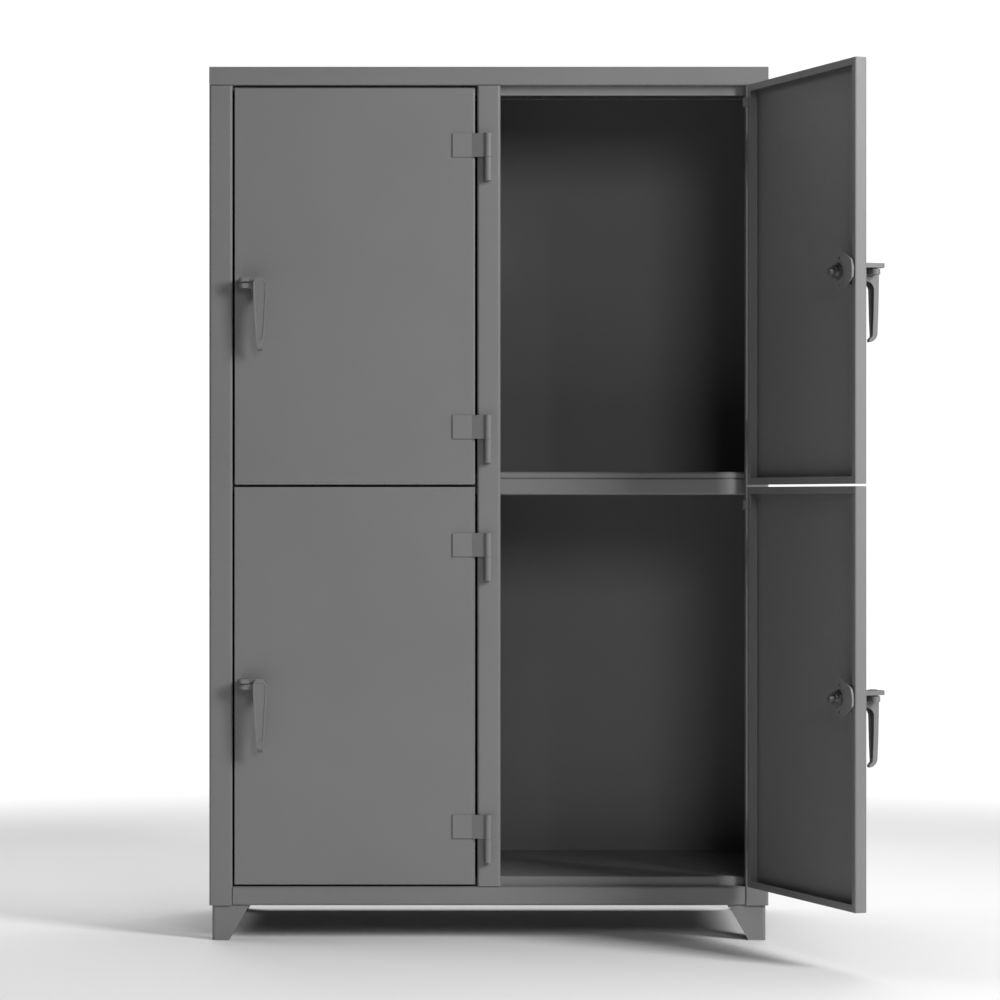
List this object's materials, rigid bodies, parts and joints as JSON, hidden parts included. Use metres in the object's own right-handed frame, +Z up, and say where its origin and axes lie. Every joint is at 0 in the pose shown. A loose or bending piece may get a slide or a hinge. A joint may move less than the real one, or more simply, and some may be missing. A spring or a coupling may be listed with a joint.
{
  "type": "locker cabinet",
  "caption": "Welded steel locker cabinet on short tapered legs, with inset doors in side-by-side bays and stacked tiers, exposed hinges and padlockable lever handles.",
  "frame": {"origin": "middle of the rear left foot's sole, on the floor", "axes": "+Z up, +Y towards the back of the cabinet, +X to the right of someone facing its doors"},
  "size_m": [1.4177, 1.156, 1.905],
  "materials": {
    "cabinet_paint": "satin grey powder coat",
    "door_paint": "satin grey powder coat",
    "hinge_paint": "satin grey powder coat",
    "cast_paint": "satin grey powder coat over a casting",
    "plated_steel": "dull zinc plate"
  },
  "bodies": {
    "cabinet": {"left_side_panel": "cabinet_paint", "right_side_panel": "cabinet_paint", "back_panel": "cabinet_paint", "top_panel": "cabinet_paint", "bottom_sill": "cabinet_paint", "floor_panel": "cabinet_paint", "centre_post": "cabinet_paint", "centre_partition": "cabinet_paint", "left_tier_shelf": "cabinet_paint", "left_tier_rail": "cabinet_paint", "right_tier_shelf": "cabinet_paint", "right_tier_rail": "cabinet_paint", "front_left_leg": "cabinet_paint", "front_right_leg": "cabinet_paint", "rear_right_leg": "cabinet_paint", "rear_left_leg": "cabinet_paint", "upper_left_top_frame_knuckle": "hinge_paint", "upper_left_bottom_frame_knuckle": "hinge_paint", "lower_left_top_frame_knuckle": "hinge_paint", "lower_left_bottom_frame_knuckle": "hinge_paint", "upper_right_top_frame_knuckle": "hinge_paint", "upper_right_bottom_frame_knuckle": "hinge_paint", "lower_right_top_frame_knuckle": "hinge_paint", "lower_right_bottom_frame_knuckle": "hinge_paint"},
    "upper_left_door": {"upper_left_door_pan": "door_paint", "upper_left_pry_lug": "door_paint", "upper_left_top_hinge_leaf": "hinge_paint", "upper_left_bottom_hinge_leaf": "hinge_paint", "upper_left_escutcheon": "cast_paint"},
    "upper_left_latch": {"upper_left_handle": "cast_paint", "upper_left_spindle": "plated_steel", "upper_left_latch_cam": "hinge_paint", "upper_left_cam_nut": "plated_steel"},
    "lower_left_door": {"lower_left_door_pan": "door_paint", "lower_left_pry_lug": "door_paint", "lower_left_top_hinge_leaf": "hinge_paint", "lower_left_bottom_hinge_leaf": "hinge_paint", "lower_left_escutcheon": "cast_paint"},
    "lower_left_latch": {"lower_left_handle": "cast_paint", "lower_left_spindle": "plated_steel", "lower_left_latch_cam": "hinge_paint", "lower_left_cam_nut": "plated_steel"},
    "upper_right_door": {"upper_right_door_pan": "door_paint", "upper_right_pry_lug": "door_paint", "upper_right_top_hinge_leaf": "hinge_paint", "upper_right_bottom_hinge_leaf": "hinge_paint", "upper_right_escutcheon": "cast_paint"},
    "upper_right_latch": {"upper_right_handle": "cast_paint", "upper_right_spindle": "plated_steel", "upper_right_latch_cam": "hinge_paint", "upper_right_cam_nut": "plated_steel"},
    "lower_right_door": {"lower_right_door_pan": "door_paint", "lower_right_pry_lug": "door_paint", "lower_right_top_hinge_leaf": "hinge_paint", "lower_right_bottom_hinge_leaf": "hinge_paint", "lower_right_escutcheon": "cast_paint"},
    "lower_right_latch": {"lower_right_handle": "cast_paint", "lower_right_spindle": "plated_steel", "lower_right_latch_cam": "hinge_paint", "lower_right_cam_nut": "plated_steel"}
  },
  "joints": [
    {"name": "upper_left_door_hinge", "type": "hinge", "parent": "cabinet", "child": "upper_left_door", "pos_m": [0.58365, -0.59625, 1.42595], "axis": [0, 0, 1], "range_deg": [0, 135]},
    {"name": "upper_left_handle_turn", "type": "hinge", "parent": "upper_left_door", "child": "upper_left_latch", "pos_m": [0.08705, -0.58505, 1.42595], "axis": [0, -1, 0], "range_deg": [0, 90]},
    {"name": "lower_left_door_hinge", "type": "hinge", "parent": "cabinet", "child": "lower_left_door", "pos_m": [0.58365, -0.59625, 0.55525], "axis": [0, 0, 1], "range_deg": [0, 135]},
    {"name": "lower_left_handle_turn", "type": "hinge", "parent": "lower_left_door", "child": "lower_left_latch", "pos_m": [0.08705, -0.58505, 0.55525], "axis": [0, -1, 0], "range_deg": [0, 90]},
    {"name": "upper_right_door_hinge", "type": "hinge", "parent": "cabinet", "child": "upper_right_door", "pos_m": [1.16785, -0.59625, 1.42595], "axis": [0, 0, 1], "range_deg": [-110.7, 64.3]},
    {"name": "upper_right_handle_turn", "type": "hinge", "parent": "upper_right_door", "child": "upper_right_latch", "pos_m": [1.33291, -1.06475, 1.42595], "axis": [0.9354, 0.3535, 0], "range_deg": [0, 90]},
    {"name": "lower_right_door_hinge", "type": "hinge", "parent": "cabinet", "child": "lower_right_door", "pos_m": [1.16785, -0.59625, 0.55525], "axis": [0, 0, 1], "range_deg": [-110.7, 64.3]},
    {"name": "lower_right_handle_turn", "type": "hinge", "parent": "lower_right_door", "child": "lower_right_latch", "pos_m": [1.33291, -1.06475, 0.55525], "axis": [0.9354, 0.3535, 0], "range_deg": [0, 90]}
  ]
}
